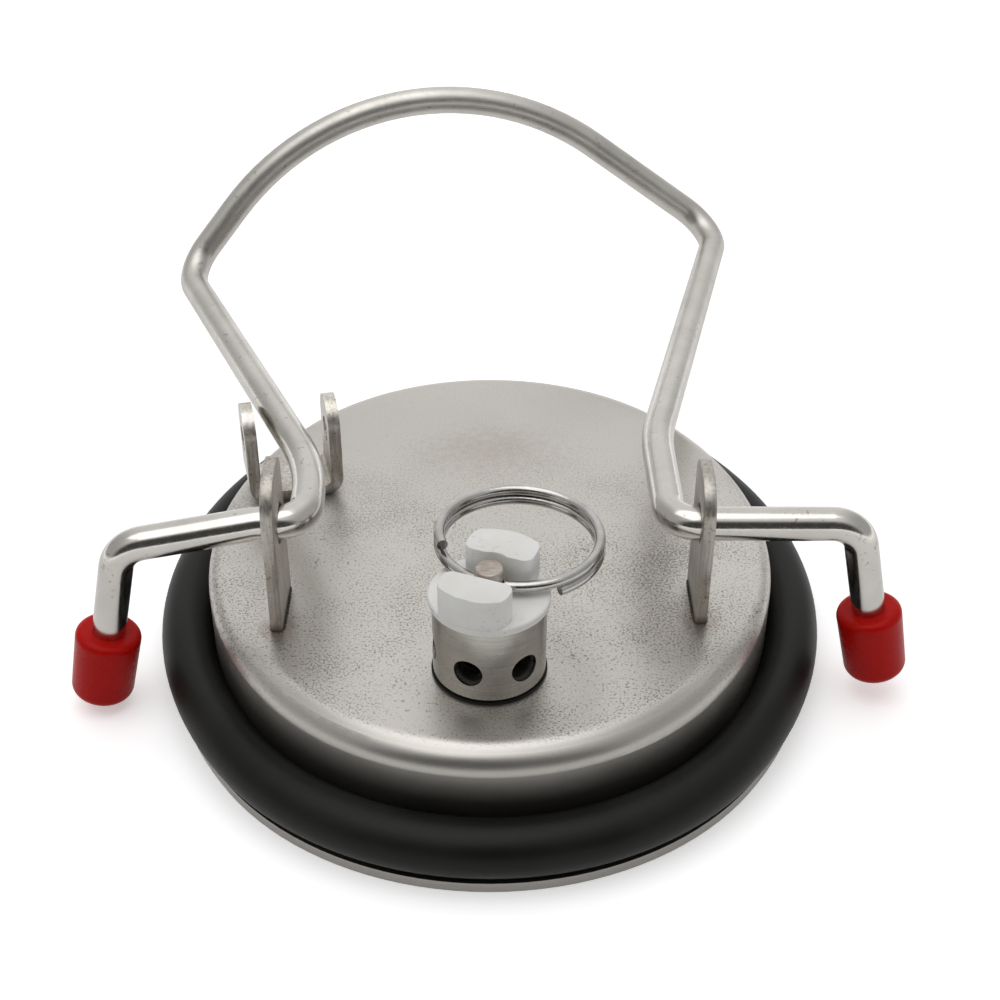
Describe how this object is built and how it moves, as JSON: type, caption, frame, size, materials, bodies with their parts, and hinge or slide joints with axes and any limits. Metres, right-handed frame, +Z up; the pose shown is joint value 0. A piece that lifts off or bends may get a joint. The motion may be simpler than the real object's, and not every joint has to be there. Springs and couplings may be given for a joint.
{
  "type": "keg lid with bail and relief valve",
  "caption": "Oval stainless keg lid with a thick rubber rim seal, a folding wire bail on capped feet, a lock bracket and a pull-ring relief valve.",
  "frame": {"origin": "middle of the deck's flat top face, where the lid's long and short axes cross", "axes": "+Z up out of the keg, +Y along the lid's long axis towards the bail's grip, X along the bail's hinge"},
  "size_m": [0.1196, 0.1446, 0.0549],
  "materials": {
    "pan_steel": "satin",
    "plate_steel": "satin",
    "wire_steel": "gloss",
    "valve_steel": "gloss",
    "ring_steel": "gloss",
    "seal_rubber": "satin",
    "cap_red": "gloss",
    "guide_white": "satin"
  },
  "bodies": {
    "lid": {"lid_shell": "pan_steel", "rim_seal": "seal_rubber", "left_pivot_tab": "plate_steel", "right_pivot_tab": "plate_steel", "lock_bracket": "plate_steel", "threaded_collar": "plate_steel", "valve_body": "valve_steel", "valve_gasket": "seal_rubber", "guide_cap": "guide_white", "spring_washer": "ring_steel", "relief_spring": "ring_steel"},
    "bail": {"bail_wire": "wire_steel", "left_foot_cap": "cap_red", "right_foot_cap": "cap_red"},
    "relief_stem": {"valve_stem": "valve_steel", "poppet": "valve_steel", "poppet_seal": "seal_rubber"},
    "pull_ring": {"split_ring": "ring_steel"}
  },
  "joints": [
    {"name": "bail_hinge", "type": "hinge", "parent": "lid", "child": "bail", "pos_m": [0, -0.016, 0.014], "axis": [1, 0, 0], "range_deg": [-10, 165]},
    {"name": "relief_lift", "type": "slide", "parent": "lid", "child": "relief_stem", "axis": [0, 0, 1], "range_m": [0, 0.003], "stiffness_N_per_m": 2500, "springref_m": -0.008, "deforming": ["relief_spring"]},
    {"name": "ring_hinge", "type": "hinge", "parent": "relief_stem", "child": "pull_ring", "pos_m": [0, -0.0294, 0.014], "axis": [0.9272, -0.3746, 0], "range_deg": [0, 176]}
  ]
}
